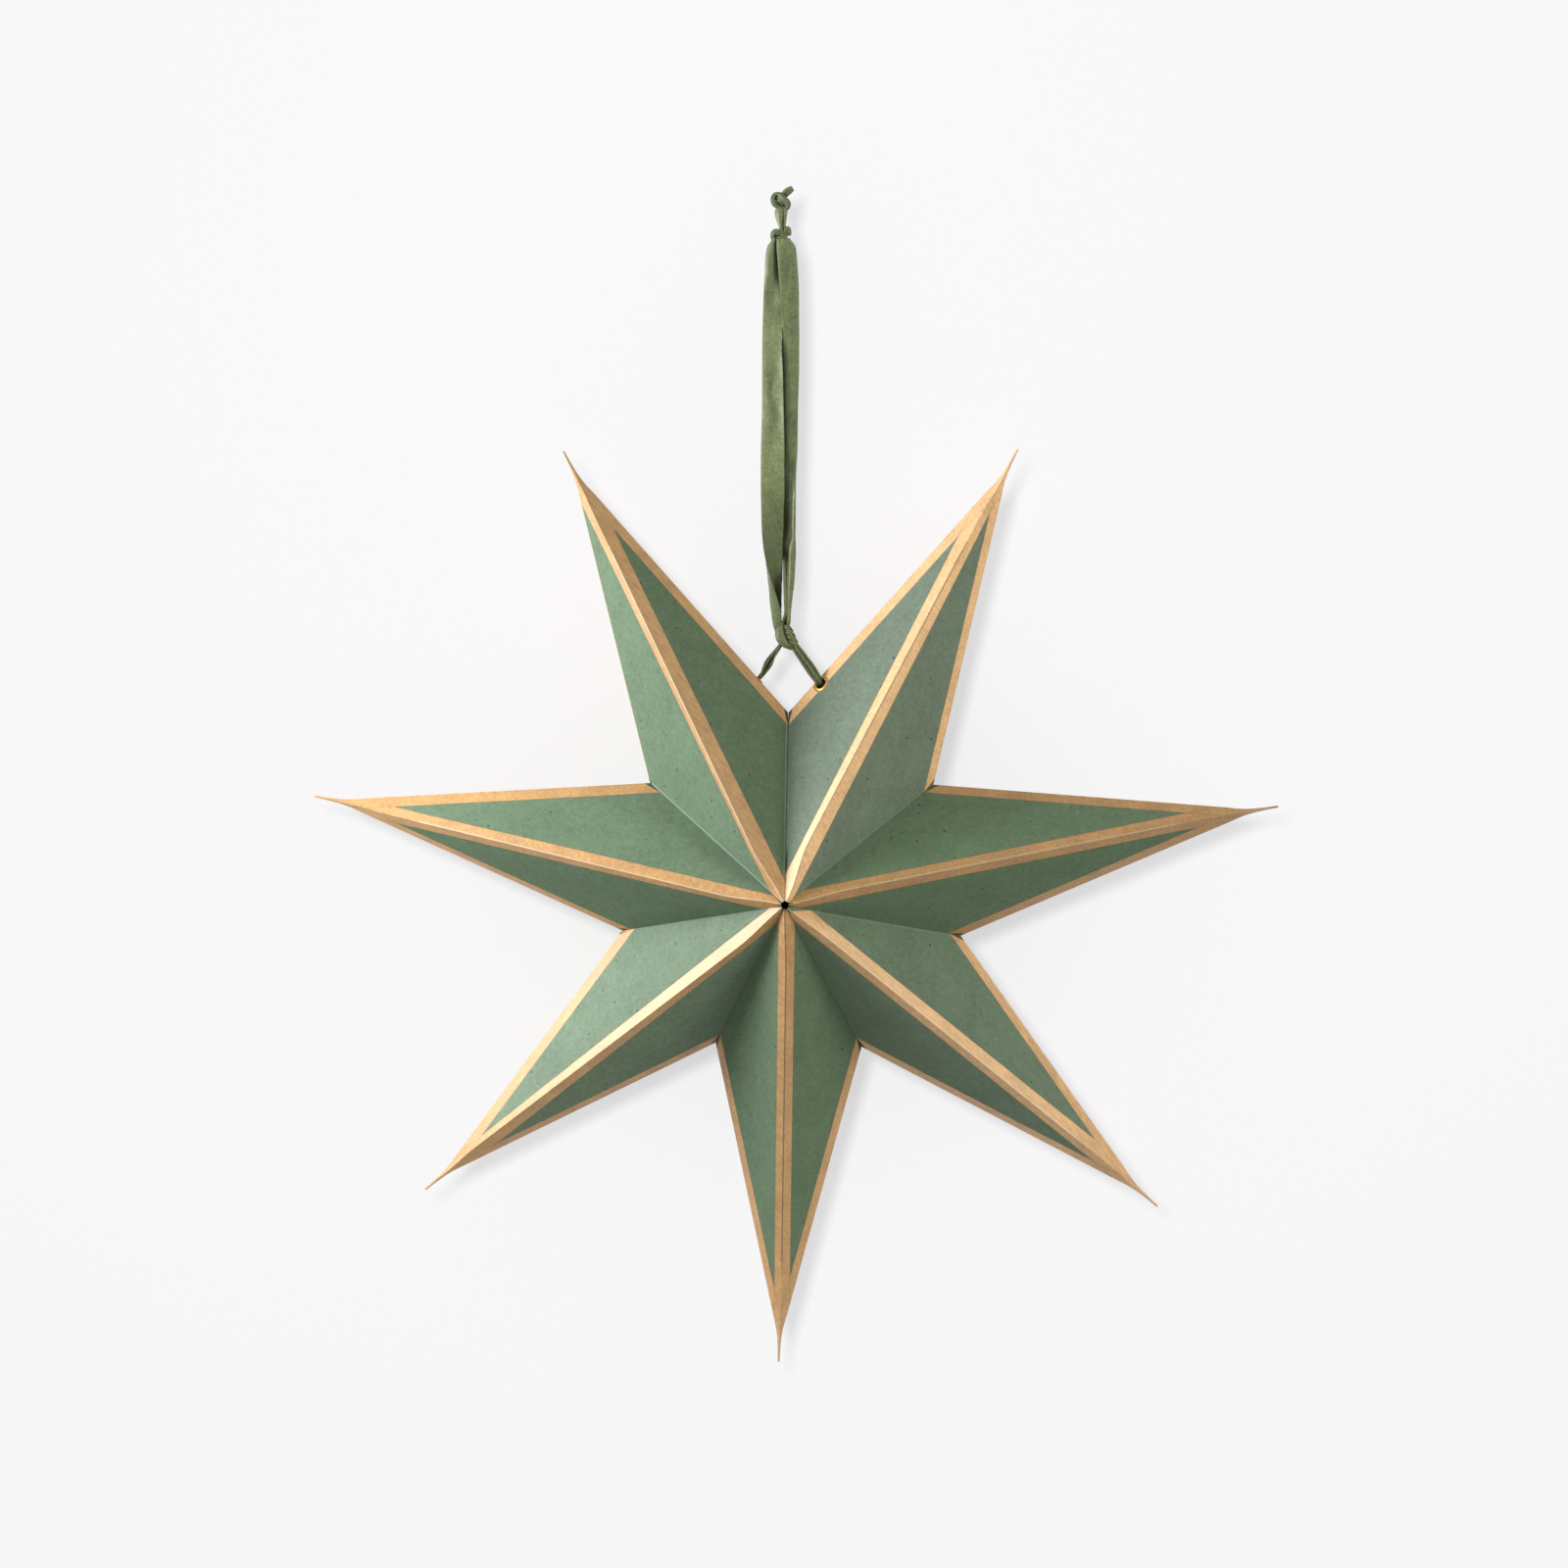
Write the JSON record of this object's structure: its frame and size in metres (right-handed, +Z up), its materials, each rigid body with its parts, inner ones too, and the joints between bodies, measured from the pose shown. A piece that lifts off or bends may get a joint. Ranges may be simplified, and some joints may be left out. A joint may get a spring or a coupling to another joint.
{
  "type": "origami star",
  "caption": "Folded paper star with long tapering points and painted gold folds, hung by a knotted ribbon loop.",
  "frame": {"origin": "inside top of the ribbon loop, where a nail or hook carries the star", "axes": "+Z up as it hangs, +Y towards the wall behind it, +X to the viewer's right; the front faces -Y"},
  "size_m": [0.4922, 0.119, 0.6024],
  "materials": {
    "paper": "matt handmade paper, sage green with fine flecks, folds edged in matt gold paint",
    "eyelet": "polished brass",
    "ribbon": "olive green satin with fine ribbed edges"
  },
  "bodies": {
    "root": {"point_upper_left": "paper", "point_upper_right": "paper", "point_right": "paper", "point_lower_right": "paper", "point_bottom": "paper", "point_lower_left": "paper", "point_left": "paper", "eyelet_right": "eyelet", "eyelet_left": "eyelet", "ribbon_loop_left": "ribbon", "ribbon_loop_right": "ribbon", "ribbon_stem": "ribbon", "ribbon_tail": "ribbon", "ribbon_tie": "ribbon", "ribbon_lower_knot": "ribbon", "ribbon_upper_knot": "ribbon", "ribbon_end_knot": "ribbon"}
  },
  "joints": []
}
